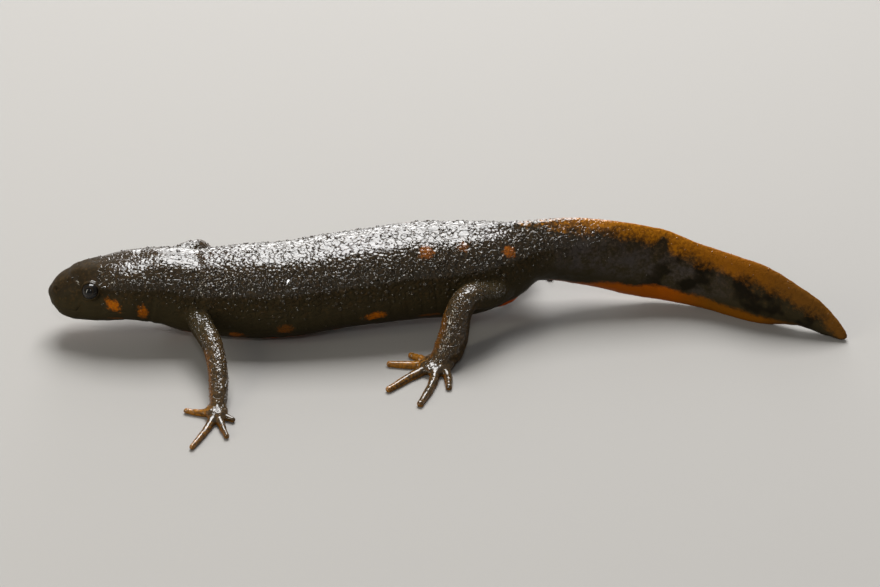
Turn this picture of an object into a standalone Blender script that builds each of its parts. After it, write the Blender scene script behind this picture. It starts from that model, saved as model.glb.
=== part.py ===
"""A still, life-size fire-bellied newt, walking with its belly and tail on the floor.

Metres, +Z up. The head points towards -X, the newt's left side faces -Y and the floor is z = 0.
The body is a loft along a bent spine, blended with its brows and cloaca and then parted by thin
cuts into head, lower jaw, neck, trunk and tail. Each leg is a set of tapered tubes and a palm,
blended into one limb, trimmed a little clear of the body and parted at its joints.
"""

import math

import bmesh
import bpy
import numpy as np
from mathutils import Matrix, Vector
from mathutils.bvhtree import BVHTree

# Driving dimensions. The tables of the body and the legs are in millimetres.
MM = 0.001
FLOOR_SIZE = 200.0 * MM
FLOOR_DEPTH = 10.0 * MM
PLACE = Vector((-0.16, -0.29, 0.0)) * MM
CUT = 0.3 * MM
EYE_RADIUS = 1.12 * MM
EYE_CLEARANCE = 0.3 * MM
SKIN_VOXEL = 0.25 * MM
BODY_TRIANGLES = 3400
LEG_TRIANGLES = {"fore": 440, "hind": 520}
SECTION_SIDES = 40
SECTION_STEP = 0.6 * MM
SNOUT_ROUNDING = 1.5 * MM
TAIL_ROUNDING = 0.6 * MM

# Stations of the body from snout to tail tip: x, y and z of the section's centre, half width,
# half height, squareness (2 is an ellipse, more is boxier), fin (0 is round, more thins the
# top and bottom edges) and the roll of the section in degrees.
STATION_COLUMNS = ("x", "y", "z", "width", "height", "square", "fin", "roll")
STATIONS = (
    (-48.0, 2.20, 5.60, 1.50, 1.00, 2.1, 0.0, -7),  # snout tip
    (-46.9, 2.20, 5.52, 2.35, 2.05, 2.2, 0.0, -7),
    (-45.2, 2.20, 5.40, 3.10, 2.95, 2.4, 0.0, -7),  # nostrils
    (-43.0, 2.15, 5.85, 3.75, 3.55, 2.4, 0.0, -7),  # eyes
    (-40.0, 2.20, 6.20, 4.35, 3.75, 2.4, 0.0, -7),  # corners of the mouth
    (-37.5, 2.30, 6.45, 4.70, 3.95, 2.4, 0.0, -5),  # back of the jaws
    (-34.4, 2.25, 6.40, 4.45, 4.50, 2.2, 0.0, -2),  # throat fold
    (-29.6, 2.25, 5.55, 4.75, 5.10, 2.2, 0.0, 0),  # shoulders
    (-22.0, 2.40, 5.55, 5.40, 5.70, 2.2, 0.0, 0),
    (-11.8, 3.75, 6.35, 5.65, 5.55, 2.2, 0.0, 0),  # middle of the trunk
    (-3.3, 5.20, 6.70, 5.70, 5.70, 2.2, 0.0, 0),
    (1.8, 5.80, 6.60, 5.40, 5.70, 2.2, 0.0, 0),  # front of the hips
    (6.5, 6.60, 7.20, 4.40, 5.20, 2.1, 0.1, 0),  # vent
    (10.8, 7.70, 7.95, 3.00, 4.10, 2.0, 0.3, 0),  # root of the tail
    (18.6, 8.70, 6.90, 2.25, 4.80, 2.0, 0.5, 0),
    (24.7, 8.65, 5.60, 1.80, 5.05, 2.0, 0.6, 0),  # deepest part of the tail
    (30.8, 7.40, 4.45, 1.55, 4.50, 2.0, 0.6, 0),
    (36.7, 4.60, 3.95, 1.35, 4.40, 2.0, 0.5, 0),
    (42.6, 2.30, 3.05, 1.05, 2.65, 2.0, 0.4, 0),
    (46.2, 0.85, 1.35, 0.75, 1.50, 2.0, 0.3, 0),
    (48.1, -0.20, 0.35, 0.45, 0.45, 2.0, 0.2, 0),  # tail tip
)

# Where the cuts cross the body, as x on the spine.
BODY_CUTS = {
    "head_neck": -35.0,
    "neck_trunk": -31.8,
    "trunk_tail": 9.2,
    "tail_front": 21.5,
    "tail_rear": 34.5,
}
BODY_CUT_REACH = 18.0 * MM

# The mouth line in the head: its height over the section's centre, and its fall to the back.
MOUTH_HEIGHT = -1.45 * MM
MOUTH_FALL = math.radians(4.5)

# Eyes: x on the spine, and the place in the section as sideways and upward offsets.
EYE_X = -42.3
EYE_SIDE = 3.1 * MM
EYE_UP = 1.15 * MM
BROW_RADIUS = 1.55 * MM
BROW_INSET = 0.35 * MM

# Cloaca, a low mound under the vent.
CLOACA_X = 5.6
CLOACA_RISE = 0.7 * MM
CLOACA_SIZE = (2.7 * MM, 1.7 * MM, 1.5 * MM)

# Legs in millimetres: the joints of each leg, the radii there, the centre and the heading of the
# palm or sole in degrees, and the toes as (turn from the heading, length, bend).
LEGS = {
    "fore_left": {
        "joints": ((-30.0, 1.0, 4.9), (-29.6, -2.6, 4.7), (-27.5, -8.3, 3.7), (-26.75, -14.4, 1.15)),
        "radii": (1.9, 1.5, 1.15, 1.08),
        "palm": (-26.9, -16.3, 0.6),
        "heading": -92,
        "toes": ((-90, 3.6, -12), (-14, 7.3, -6), (19, 4.9, 0), (58, 2.4, 0)),
    },
    "fore_right": {
        "joints": ((-31.5, 3.5, 5.6), (-32.6, 6.7, 6.8), (-30.1, 10.1, 6.4), (-34.4, 13.4, 1.25)),
        "radii": (1.9, 1.8, 1.3, 1.05),
        "palm": (-35.6, 14.4, 0.6),
        "heading": 148,
        "toes": ((-66, 3.2, -8), (-18, 4.9, 6), (16, 5.4, 8), (60, 3.4, 14)),
    },
    "hind_left": {
        "joints": ((6.6, 4.6, 5.6), (4.9, 1.0, 5.9), (2.15, -1.7, 6.7), (0.05, -5.0, 1.7)),
        "radii": (2.3, 1.75, 1.5, 1.85),
        "palm": (-1.2, -6.3, 0.7),
        "heading": 226,
        "toes": ((-87, 3.9, 8), (-50, 5.7, -1), (-11, 7.6, 11), (35, 8.3, -9), (75, 4.8, -26)),
    },
    "hind_right": {
        "joints": ((6.6, 8.6, 5.2), (7.2, 11.4, 5.8), (8.4, 13.6, 6.3), (9.2, 15.6, 1.35)),
        "radii": (2.3, 1.8, 1.5, 1.35),
        "palm": (10.4, 16.5, 0.65),
        "heading": 40,
        "toes": ((-84, 3.6, -8), (-46, 5.2, -6), (-10, 6.9, 4), (24, 7.2, 6), (60, 4.8, 10)),
    },
}
LEG_NODES = {"fore": ("upper_arm", "forearm", "hand"), "hind": ("thigh", "shin", "foot")}
PALM_SIZES = {"fore": (1.7, 1.4, 0.7), "hind": (2.4, 2.0, 0.8)}
PALM_TAPER = 0.7
TOE_RADII = {"fore": (0.6, 0.46, 0.34), "hind": (0.72, 0.56, 0.42)}
TOE_LEVEL = 0.36

BACK = (0.028, 0.021, 0.015)
FLANK = (0.035, 0.026, 0.018)
AMBER = (0.30, 0.11, 0.03)
LIMB = (0.045, 0.028, 0.018)
EYE_BLACK = (0.010, 0.008, 0.006)


def slopes(xs, ys):
    """Slopes of a smooth curve through the points that doesn't overshoot them."""
    steps = np.diff(xs)
    grades = np.diff(ys) / steps
    found = np.empty(len(xs))
    found[0], found[-1] = grades[0], grades[-1]
    for i in range(1, len(xs) - 1):
        before, after = grades[i - 1], grades[i]
        if before * after <= 0:
            found[i] = 0.0
            continue
        near, far = 2 * steps[i] + steps[i - 1], steps[i] + 2 * steps[i - 1]
        found[i] = (near + far) / (near / before + far / after)
    return found


def smooth_curve(xs, ys):
    """A function that reads the smooth curve through the points."""
    rates = slopes(xs, ys)

    def read(x):
        i = int(np.clip(np.searchsorted(xs, x) - 1, 0, len(xs) - 2))
        step = xs[i + 1] - xs[i]
        t = min(max((x - xs[i]) / step, 0.0), 1.0)
        rise = t * t * (3 - 2 * t)
        start, end = t * (1 - t) ** 2, t * t * (t - 1)
        return (1 - rise) * ys[i] + rise * ys[i + 1] + step * (start * rates[i] + end * rates[i + 1])

    return read


TABLE = np.array(STATIONS).T
READ = {name: smooth_curve(TABLE[0], column) for name, column in zip(STATION_COLUMNS, TABLE)}
NOSE_X, TIP_X = TABLE[0][0], TABLE[0][-1]


def end_rounding(x):
    """How far the section is drawn in near the snout and the tail tip, from 0 to 1."""
    factor = 1.0
    for distance, reach in (((x - NOSE_X) * MM, SNOUT_ROUNDING), ((TIP_X - x) * MM, TAIL_ROUNDING)):
        inward = min(max(distance / reach, 0.0), 1.0)
        factor *= math.sqrt(1 - (1 - inward) ** 2)
    return factor


def spine_point(x):
    return Vector((x, READ["y"](x), READ["z"](x))) * MM + PLACE


def section_frame(x):
    """The section's matrix: its local X runs along the spine, Y to the newt's right, Z up."""
    along = (spine_point(min(x + 0.5, TIP_X)) - spine_point(max(x - 0.5, NOSE_X))).normalized()
    side = Vector((0, 0, 1)).cross(along).normalized()
    up = along.cross(side)
    turn = Matrix((along, side, up)).transposed().to_4x4()
    roll = Matrix.Rotation(math.radians(READ["roll"](x)), 4, "X")
    return Matrix.Translation(spine_point(x)) @ turn @ roll


def section_outline(x, margin=0.0):
    """Points round the section, as (sideways, up), with a margin all round."""
    scale = end_rounding(x) * MM
    half_width, half_height = READ["width"](x) * scale + margin, READ["height"](x) * scale + margin
    power, fin = 2 / READ["square"](x), READ["fin"](x)
    for i in range(SECTION_SIDES):
        angle = 2 * math.pi * i / SECTION_SIDES
        c, s = math.cos(angle), math.sin(angle)
        side = math.copysign(abs(c) ** (power + fin), c)
        yield half_width * side, half_height * math.copysign(abs(s) ** power, s)


def section_places():
    """x of every section: even along the body and closer together at the rounded ends."""
    ends = [(1 - math.cos(math.pi / 2 * i / 6)) for i in range(7)]
    nose = [NOSE_X + end * SNOUT_ROUNDING / MM for end in ends]
    tip = [TIP_X - end * TAIL_ROUNDING / MM for end in reversed(ends)]
    count = round((tip[0] - nose[-1]) * MM / SECTION_STEP)
    middle = list(np.linspace(nose[-1], tip[0], count + 1)[1:-1])
    return nose[1:] + middle + tip[:-1]


def add_object(name, mesh, collection):
    obj = bpy.data.objects.new(name, mesh)
    collection.objects.link(obj)
    return obj


def mesh_from(name, build):
    """A new mesh, filled by a function that takes its bmesh."""
    mesh = bpy.data.meshes.new(name)
    bm = bmesh.new()
    build(bm)
    bmesh.ops.recalc_face_normals(bm, faces=bm.faces)
    bm.to_mesh(mesh)
    bm.free()
    return mesh


def body_loft(bm, margin=0.0):
    """The body from snout to tail tip, one ring of points for each section."""
    rings = []
    for x in section_places():
        frame = section_frame(x)
        outline = section_outline(x, margin)
        rings.append([bm.verts.new(frame @ Vector((0, side, up))) for side, up in outline])
    for ring, following in zip(rings, rings[1:]):
        for i in range(SECTION_SIDES):
            j = (i + 1) % SECTION_SIDES
            bm.faces.new((ring[i], ring[j], following[j], following[i]))
    bm.faces.new(rings[0])
    bm.faces.new(rings[-1])


def ellipsoid(bm, matrix, sizes):
    bmesh.ops.create_uvsphere(
        bm, u_segments=20, v_segments=10, radius=1.0, matrix=matrix @ Matrix.Diagonal((*sizes, 1))
    )


def tube(name, points, radii, collection):
    """A tapered tube through the points, made a mesh with its caps welded."""
    curve = bpy.data.curves.new(name, "CURVE")
    curve.dimensions = "3D"
    curve.bevel_depth = 1.0
    curve.bevel_resolution = 4
    curve.resolution_u = 8
    curve.use_fill_caps = True
    spline = curve.splines.new("BEZIER")
    spline.bezier_points.add(len(points) - 1)
    for knot, point, radius in zip(spline.bezier_points, points, radii):
        knot.co = point
        knot.radius = radius
        knot.handle_left_type = knot.handle_right_type = "AUTO"
    path = add_object(name, curve, collection)
    bpy.context.view_layer.update()
    graph = bpy.context.evaluated_depsgraph_get()
    mesh = bpy.data.meshes.new_from_object(path.evaluated_get(graph))
    bpy.data.objects.remove(path)
    bm = bmesh.new()
    bm.from_mesh(mesh)
    bmesh.ops.remove_doubles(bm, verts=bm.verts, dist=0.00001)
    bm.to_mesh(mesh)
    bm.free()
    return add_object(name, mesh, collection)


def in_place(point):
    return Vector(point) * MM + PLACE


def toe_points(palm, heading, turn, length, bend):
    """The toe's knuckles on the floor: straight from the palm, then turned by its bend."""
    point = in_place(palm)
    level = TOE_LEVEL * MM
    points = [point]
    for share, angle in ((0.45, turn), (0.55, turn + bend)):
        direction = math.radians(heading + angle)
        reach = Vector((math.cos(direction), math.sin(direction), 0)) * length * share * MM
        point = point + reach
        point.z = level
        points.append(point)
    return points


def leg_pieces(name, leg, collection):
    """The limb, the palm and the toes of one leg."""
    kind = name.split("_")[0]
    joints = [in_place(joint) for joint in leg["joints"]]
    palm = in_place(leg["palm"])
    radii = [radius * MM for radius in leg["radii"]]
    pieces = [tube(name, joints + [palm], radii + [radii[-1] * PALM_TAPER], collection)]
    turn = Matrix.Translation(palm) @ Matrix.Rotation(math.radians(leg["heading"]), 4, "Z")
    sizes = [size * MM for size in PALM_SIZES[kind]]
    sole = mesh_from("palm", lambda bm: ellipsoid(bm, turn, sizes))
    pieces.append(add_object(f"{name}_palm", sole, collection))
    radii = [radius * MM for radius in TOE_RADII[kind]]
    for number, toe in enumerate(leg["toes"]):
        points = toe_points(leg["palm"], leg["heading"], *toe)
        pieces.append(tube(f"{name}_toe_{number}", points, radii, collection))
    return pieces


def eye_centre(side):
    """Centre of an eye: side is -1 for the newt's left and 1 for its right."""
    return section_frame(EYE_X) @ Vector((0, side * EYE_SIDE, EYE_UP))


def brow(bm, side):
    inset = section_frame(EYE_X) @ Vector((0, side * (EYE_SIDE - BROW_INSET), EYE_UP - BROW_INSET))
    ellipsoid(bm, Matrix.Translation(inset), (BROW_RADIUS * 1.25, BROW_RADIUS, BROW_RADIUS))


def cloaca(bm):
    frame = section_frame(CLOACA_X)
    under = frame @ Matrix.Translation((0, 0, CLOACA_RISE - READ["height"](CLOACA_X) * MM))
    ellipsoid(bm, under, CLOACA_SIZE)


def apply_modifiers(obj):
    """Turns the object's modifiers into plain mesh."""
    bpy.context.view_layer.update()
    graph = bpy.context.evaluated_depsgraph_get()
    mesh = bpy.data.meshes.new_from_object(obj.evaluated_get(graph))
    obj.modifiers.clear()
    old, obj.data = obj.data, mesh
    bpy.data.meshes.remove(old)


def join(pieces, name):
    """One object from the meshes of all the pieces."""
    joined = bpy.data.meshes.new(name)
    bm = bmesh.new()
    for piece in pieces:
        bm.from_mesh(piece.data)
    bm.to_mesh(joined)
    bm.free()
    collection = pieces[0].users_collection[0]
    for piece in pieces:
        bpy.data.objects.remove(piece)
    return add_object(name, joined, collection)


def blended(pieces, name, triangles):
    """One smooth closed mesh round all the pieces."""
    skin = join(pieces, name)
    remesh = skin.modifiers.new("blend", "REMESH")
    remesh.mode = "VOXEL"
    remesh.voxel_size = SKIN_VOXEL
    soften = skin.modifiers.new("soften", "SMOOTH")
    soften.factor = 0.5
    soften.iterations = 4
    apply_modifiers(skin)
    skin.data.calc_loop_triangles()
    thin = skin.modifiers.new("thin", "DECIMATE")
    thin.ratio = triangles / len(skin.data.loop_triangles)
    apply_modifiers(skin)
    return skin


def body_skin(collection):
    pieces = [add_object("loft", mesh_from("loft", body_loft), collection)]
    for side in (-1, 1):
        pieces.append(add_object("brow", mesh_from("brow", lambda bm: brow(bm, side)), collection))
    pieces.append(add_object("cloaca", mesh_from("cloaca", cloaca), collection))
    return blended(pieces, "body", BODY_TRIANGLES)


def add_cutter(name, build, collection):
    """A hidden object that cuts others, filled by a function that takes its bmesh."""
    cutter = add_object(name, mesh_from(name, build), collection)
    cutter.hide_render = True
    cutter.display_type = "WIRE"
    return cutter


def slab(name, matrix, sizes, collection):
    """A thin box that parts what it crosses."""
    placed = matrix @ Matrix.Diagonal((*sizes, 1))
    return add_cutter(name, lambda bm: bmesh.ops.create_cube(bm, size=1.0, matrix=placed), collection)


def across(start, end, share):
    """A matrix at a share of the way from start to end, with its local X along the way."""
    way = (end - start).normalized()
    return Matrix.Translation(start.lerp(end, share)) @ way.to_track_quat("X", "Z").to_matrix().to_4x4()


def leg_cutters(name, leg, collection):
    """Cuts at the elbow or knee and at the wrist or ankle of a leg."""
    _, flank, bend, end = (in_place(joint) for joint in leg["joints"])
    reach = 3.2 * leg["radii"][1] * MM
    middle = (bend - flank).normalized() + (end - bend).normalized()
    elbow = Matrix.Translation(bend) @ middle.to_track_quat("X", "Z").to_matrix().to_4x4()
    places = {"bend": elbow, "end": across(bend, end, 0.95)}
    sizes = (CUT, reach, reach)
    return [slab(f"cut_{name}_{key}", place, sizes, collection) for key, place in places.items()]


def body_cutters(collection):
    """Cuts across the body, and the mouth's slit back to the neck."""
    sizes = (CUT, BODY_CUT_REACH, BODY_CUT_REACH)
    made = [slab(f"cut_{name}", section_frame(x), sizes, collection) for name, x in BODY_CUTS.items()]
    front, back = NOSE_X - 1.0, BODY_CUTS["head_neck"] - 0.15
    middle = section_frame((front + back) / 2)
    mouth = middle @ Matrix.Translation((0, 0, MOUTH_HEIGHT)) @ Matrix.Rotation(MOUTH_FALL, 4, "Y")
    made.append(slab("cut_mouth", mouth, ((back - front) * MM, BODY_CUT_REACH, CUT), collection))
    return made


def cut_away(obj, cutter):
    boolean = obj.modifiers.new(cutter.name, "BOOLEAN")
    boolean.operation = "DIFFERENCE"
    boolean.solver = "EXACT"
    boolean.object = cutter


def body_places():
    """A point inside each node of the body, by the node's name."""
    cuts = BODY_CUTS
    spans = {
        "neck": (cuts["head_neck"], cuts["neck_trunk"]),
        "trunk": (cuts["neck_trunk"], cuts["trunk_tail"]),
        "tail_base": (cuts["trunk_tail"], cuts["tail_front"]),
        "tail_middle": (cuts["tail_front"], cuts["tail_rear"]),
        "tail_tip": (cuts["tail_rear"], TIP_X),
    }
    places = {name: spine_point((start + end) / 2) for name, (start, end) in spans.items()}
    middle = section_frame((NOSE_X + cuts["head_neck"]) / 2)
    places["head"] = middle @ Vector((0, 0, 1.5 * MM))
    places["lower_jaw"] = middle @ Vector((0, 0, -2.2 * MM))
    return places


def leg_places(kind, side, leg):
    """A point inside each node of a leg, by the node's name."""
    flank, bend, end = (in_place(joint) for joint in leg["joints"][1:])
    points = (flank.lerp(bend, 0.5), bend.lerp(end, 0.5), in_place(leg["palm"]))
    return {f"{node}_{side}": point for node, point in zip(LEG_NODES[kind], points)}


def holds(mesh, point):
    """Whether the closed mesh holds the point, from the first face that a ray upwards meets."""
    bm = bmesh.new()
    bm.from_mesh(mesh)
    tree = BVHTree.FromBMesh(bm)
    hit, normal, _, _ = tree.ray_cast(point, Vector((0.013, 0.017, 1)).normalized())
    bm.free()
    return hit is not None and normal.z > 0


def material(name, colour, roughness):
    made = bpy.data.materials.new(name)
    made.use_nodes = True
    shader = made.node_tree.nodes["Principled BSDF"]
    shader.inputs["Base Color"].default_value = (*colour, 1)
    shader.inputs["Roughness"].default_value = roughness
    shader.inputs["Metallic"].default_value = 0.0
    return made


def node_colour(name):
    if name.startswith("tail"):
        return AMBER
    if name in ("head", "neck", "trunk"):
        return BACK
    return FLANK if name == "lower_jaw" else LIMB


def finish(obj, colour, roughness=0.3):
    """Gives a node its own material and smooth shading."""
    obj.data.materials.clear()
    obj.data.materials.append(material(obj.name, colour, roughness))
    obj.data.shade_smooth()
    obj.data.set_sharp_from_angle(angle=math.radians(50))


def clear_scene():
    for obj in list(bpy.data.objects):
        bpy.data.objects.remove(obj)


def loose_parts(obj):
    """The object's separate closed bodies, each as an object."""
    for other in bpy.context.view_layer.objects:
        other.select_set(other == obj)
    bpy.context.view_layer.objects.active = obj
    bpy.ops.mesh.separate(type="LOOSE")
    return list(bpy.context.selected_objects)


def name_parts(skin, places):
    """Parts the skin into its closed bodies and names each by the place that it holds."""
    apply_modifiers(skin)
    parts = loose_parts(skin)
    for name, place in places.items():
        found = [part for part in parts if holds(part.data, place)]
        if len(found) != 1:
            raise RuntimeError(f"{name}: {len(found)} solids hold its place")
        parts.remove(found[0])
        found[0].name = found[0].data.name = name
        finish(found[0], node_colour(name))
    if parts:
        raise RuntimeError(f"{len(parts)} solids have no name")


def add_eye(side, word, newt, tools):
    """An eye, and the cutter of its socket."""
    centre = Matrix.Translation(eye_centre(side))
    ball = mesh_from(f"eye_{word}", lambda bm: ellipsoid(bm, centre, (EYE_RADIUS,) * 3))
    finish(add_object(f"eye_{word}", ball, newt), EYE_BLACK, 0.05)
    radius = EYE_RADIUS + EYE_CLEARANCE
    return add_cutter(f"socket_{word}", lambda bm: ellipsoid(bm, centre, (radius,) * 3), tools)


def main():
    clear_scene()
    newt = bpy.data.collections.new("fire_bellied_newt")
    tools = bpy.data.collections.new("cutters")
    for collection in (newt, tools):
        bpy.context.scene.collection.children.link(collection)
    tools.hide_render = True

    under_floor = Matrix.Translation((0, 0, -FLOOR_DEPTH / 2))
    floor = slab("cut_floor", under_floor, (FLOOR_SIZE, FLOOR_SIZE, FLOOR_DEPTH), tools)
    sockets = [add_eye(side, word, newt, tools) for side, word in ((-1, "left"), (1, "right"))]
    skin = body_skin(newt)
    for cutter in [floor, *sockets, *body_cutters(tools)]:
        cut_away(skin, cutter)
    name_parts(skin, body_places())

    clearance = add_cutter("body_clearance", lambda bm: body_loft(bm, CUT), tools)
    for name, leg in LEGS.items():
        kind, side = name.split("_")
        limb = blended(leg_pieces(name, leg, newt), name, LEG_TRIANGLES[kind])
        for cutter in [floor, clearance, *leg_cutters(name, leg, tools)]:
            cut_away(limb, cutter)
        name_parts(limb, leg_places(kind, side, leg))


if __name__ == "__main__":
    main()
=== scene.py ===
"""Looks of a still, life-size fire-bellied newt: a wet skin, its warts and granules, and its eyes.

Metres, +Z up. The head points towards -X, the newt's left side faces -Y and the floor is z = 0.
The skin is made from the same body plan as the solids, blended into one mesh, sculpted by small
moves along its normals and painted by fields that its points carry.
"""

import math
from contextlib import contextmanager
from types import SimpleNamespace

import bmesh
import bpy
import numpy as np
from bpy.props import FloatProperty, FloatVectorProperty, IntProperty, PointerProperty
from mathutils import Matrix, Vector


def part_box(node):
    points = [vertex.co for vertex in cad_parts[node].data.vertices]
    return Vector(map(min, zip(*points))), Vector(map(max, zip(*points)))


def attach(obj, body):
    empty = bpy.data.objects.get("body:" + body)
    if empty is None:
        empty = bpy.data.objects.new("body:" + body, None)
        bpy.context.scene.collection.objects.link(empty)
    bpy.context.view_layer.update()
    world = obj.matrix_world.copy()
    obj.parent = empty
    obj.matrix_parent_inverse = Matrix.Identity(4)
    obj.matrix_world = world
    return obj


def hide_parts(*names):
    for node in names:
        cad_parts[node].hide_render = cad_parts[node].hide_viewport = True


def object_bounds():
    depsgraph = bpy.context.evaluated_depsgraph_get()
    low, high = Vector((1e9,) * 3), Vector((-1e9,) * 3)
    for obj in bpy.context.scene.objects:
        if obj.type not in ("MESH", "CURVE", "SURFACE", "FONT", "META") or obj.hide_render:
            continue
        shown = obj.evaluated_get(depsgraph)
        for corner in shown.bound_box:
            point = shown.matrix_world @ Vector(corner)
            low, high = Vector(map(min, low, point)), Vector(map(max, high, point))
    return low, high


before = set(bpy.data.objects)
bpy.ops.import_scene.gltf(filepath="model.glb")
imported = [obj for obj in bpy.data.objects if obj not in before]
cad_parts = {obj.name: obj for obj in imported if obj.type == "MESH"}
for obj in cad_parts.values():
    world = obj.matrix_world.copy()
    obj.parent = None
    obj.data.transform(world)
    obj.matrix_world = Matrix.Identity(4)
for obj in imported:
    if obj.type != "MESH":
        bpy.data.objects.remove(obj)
CAD_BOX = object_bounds()

bl_info = {
    "name": "Fire-bellied newt",
    "version": (1, 0, 0),
    "blender": (4, 5, 0),
    "location": "View3D > Sidebar > Newt",
    "description": "Skin, warts, eyes and studio stage of a still, life-size newt",
    "category": "Object",
}

# How strongly the skin, its film of water and the cornea reflect, and how rough the film is.
SKIN_IOR = 1.10
FILM_IOR = 1.45
FILM_ROUGHNESS = 0.08
CORNEA_IOR = 1.376

# Warts: how far a foot lies under the skin, of the radius; how blunt the top is; how suddenly
# the foot goes under; how much the sizes vary; and how many points are tried in a square of the
# spacing.
SUNK = 0.12
WART_BLUNTNESS = 1.5
WART_FOOT = 4.0
WART_SPREAD = (0.62, 1.18)
WART_TRIES = 1.4

BODY = "root"
MM = 0.001

# In millimetres, a distance that counts as far away.
FAR = 9.0

# The body plan, in millimetres, as the solids have it. Stations from snout to tail tip: x, y and
# z of the section's centre, half width, half height, squareness (2 is an ellipse, more is
# boxier), fin (more thins the top and bottom edges) and the roll of the section in degrees.
STATION_COLUMNS = ("x", "y", "z", "width", "height", "square", "fin", "roll")
STATIONS = (
    (-48.0, 2.20, 5.60, 1.50, 1.00, 2.1, 0.0, -7),  # snout tip
    (-46.9, 2.20, 5.52, 2.35, 2.05, 2.2, 0.0, -7),
    (-45.2, 2.20, 5.40, 3.10, 2.95, 2.4, 0.0, -7),  # nostrils
    (-43.0, 2.15, 5.85, 3.75, 3.55, 2.4, 0.0, -7),  # eyes
    (-40.0, 2.20, 6.20, 4.35, 3.75, 2.4, 0.0, -7),  # corners of the mouth
    (-37.5, 2.30, 6.45, 4.70, 3.95, 2.4, 0.0, -5),  # back of the jaws
    (-34.4, 2.25, 6.40, 4.45, 4.50, 2.2, 0.0, -2),  # throat fold
    (-29.6, 2.25, 5.55, 4.75, 5.10, 2.2, 0.0, 0),  # shoulders
    (-22.0, 2.40, 5.55, 5.40, 5.70, 2.2, 0.0, 0),
    (-11.8, 3.75, 6.35, 5.65, 5.55, 2.2, 0.0, 0),  # middle of the trunk
    (-3.3, 5.20, 6.70, 5.70, 5.70, 2.2, 0.0, 0),
    (1.8, 5.80, 6.60, 5.40, 5.70, 2.2, 0.0, 0),  # front of the hips
    (6.5, 6.60, 7.20, 4.40, 5.20, 2.1, 0.1, 0),  # vent
    (10.8, 7.70, 7.95, 3.00, 4.10, 2.0, 0.3, 0),  # root of the tail
    (18.6, 8.70, 6.90, 2.25, 4.80, 2.0, 0.5, 0),
    (24.7, 8.65, 5.60, 1.80, 5.05, 2.0, 0.6, 0),  # deepest part of the tail
    (30.8, 7.40, 4.45, 1.55, 4.50, 2.0, 0.6, 0),
    (36.7, 4.60, 3.95, 1.35, 4.40, 2.0, 0.5, 0),
    (42.6, 2.30, 3.05, 1.05, 2.65, 2.0, 0.4, 0),
    (46.2, 0.85, 1.35, 0.75, 1.50, 2.0, 0.3, 0),
    (48.1, -0.20, 0.35, 0.45, 0.45, 2.0, 0.2, 0),  # tail tip
)
SECTION_SIDES = 96
SECTION_STEP = 0.3
SNOUT_ROUNDING = 1.5
TAIL_ROUNDING = 0.6
# Points of a tube nearer than this are one.
WELD = 0.005

SIDES = {"left": -1, "right": 1}

# Eyes and brows: the place in the eyes' section as sideways and upward offsets.
EYE_X = -42.3
EYE_SIDE = 3.1
EYE_UP = 1.15
EYE_AXIS = (-0.16, 0.92, 0.36)
BROW_RADIUS = 1.55
BROW_INSET = 0.35
# Half angles of the opening between the lids, in radians: to the sides, up and down.
LID_OPENING = (1.12, 0.88, 0.94)
# The eyeball's points, how much its cornea stands out, of the radius, and over what angle.
EYE_RINGS = 40
EYE_SIDES = 56
CORNEA_BULGE = 0.05
CORNEA_REACH = 0.55
# How far from an eye's centre the skin is moved, and how far it sinks inside the eyeball.
LID_REACH = 3.2
SOCKET_DEPTH = 0.25

# The mouth line: the section it is measured from, its height over that section's centre, its
# fall to the back, and x and the rise of its corner.
MOUTH_MIDDLE = -42.075
MOUTH_HEIGHT = -1.45
MOUTH_FALL = math.radians(4.5)
MOUTH_CORNER = -38.9
MOUTH_CURL = 0.18

# Where each nostril is: x on the spine, and degrees up from level.
NOSTRIL = (-46.95, 33)

# Swellings and hollows of the head: height, the two ends of the line they follow as (x,
# sideways, up) in the section, and reach.
HEAD_RIDGES = (
    (0.06, (-46.0, 1.3, 2.2), (-43.4, 2.2, 2.75), 0.5),
    (-0.06, (-46.0, 2.6, 0.9), (-44.4, 3.1, 1.2), 0.8),
    (-0.07, (-43.8, 0.0, 3.2), (-40.8, 0.0, 3.4), 1.2),
    (0.16, (-39.6, 3.4, 2.0), (-35.2, 3.2, 2.6), 0.9),
    (-0.06, (-39.8, 4.2, 0.9), (-36.0, 4.4, 1.2), 0.5),
    (0.12, (-39.0, 4.3, -0.3), (-37.6, 4.5, -0.3), 1.1),
)

# Where the skin folds under the throat and behind the arm, the spacing of the rib furrows and
# of the tail's chevrons, and the height on the tail where its fins begin.
THROAT_FOLD_X = -34.9
ARM_FOLD_X = -29.3
RIB_PITCH = 1.95
CHEVRON_PITCH = 1.7
FIN_BASE = 0.66

CLOACA_X = 5.6
CLOACA_RISE = 0.7
CLOACA_SIZE = (2.7, 1.7, 1.5)

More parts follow.
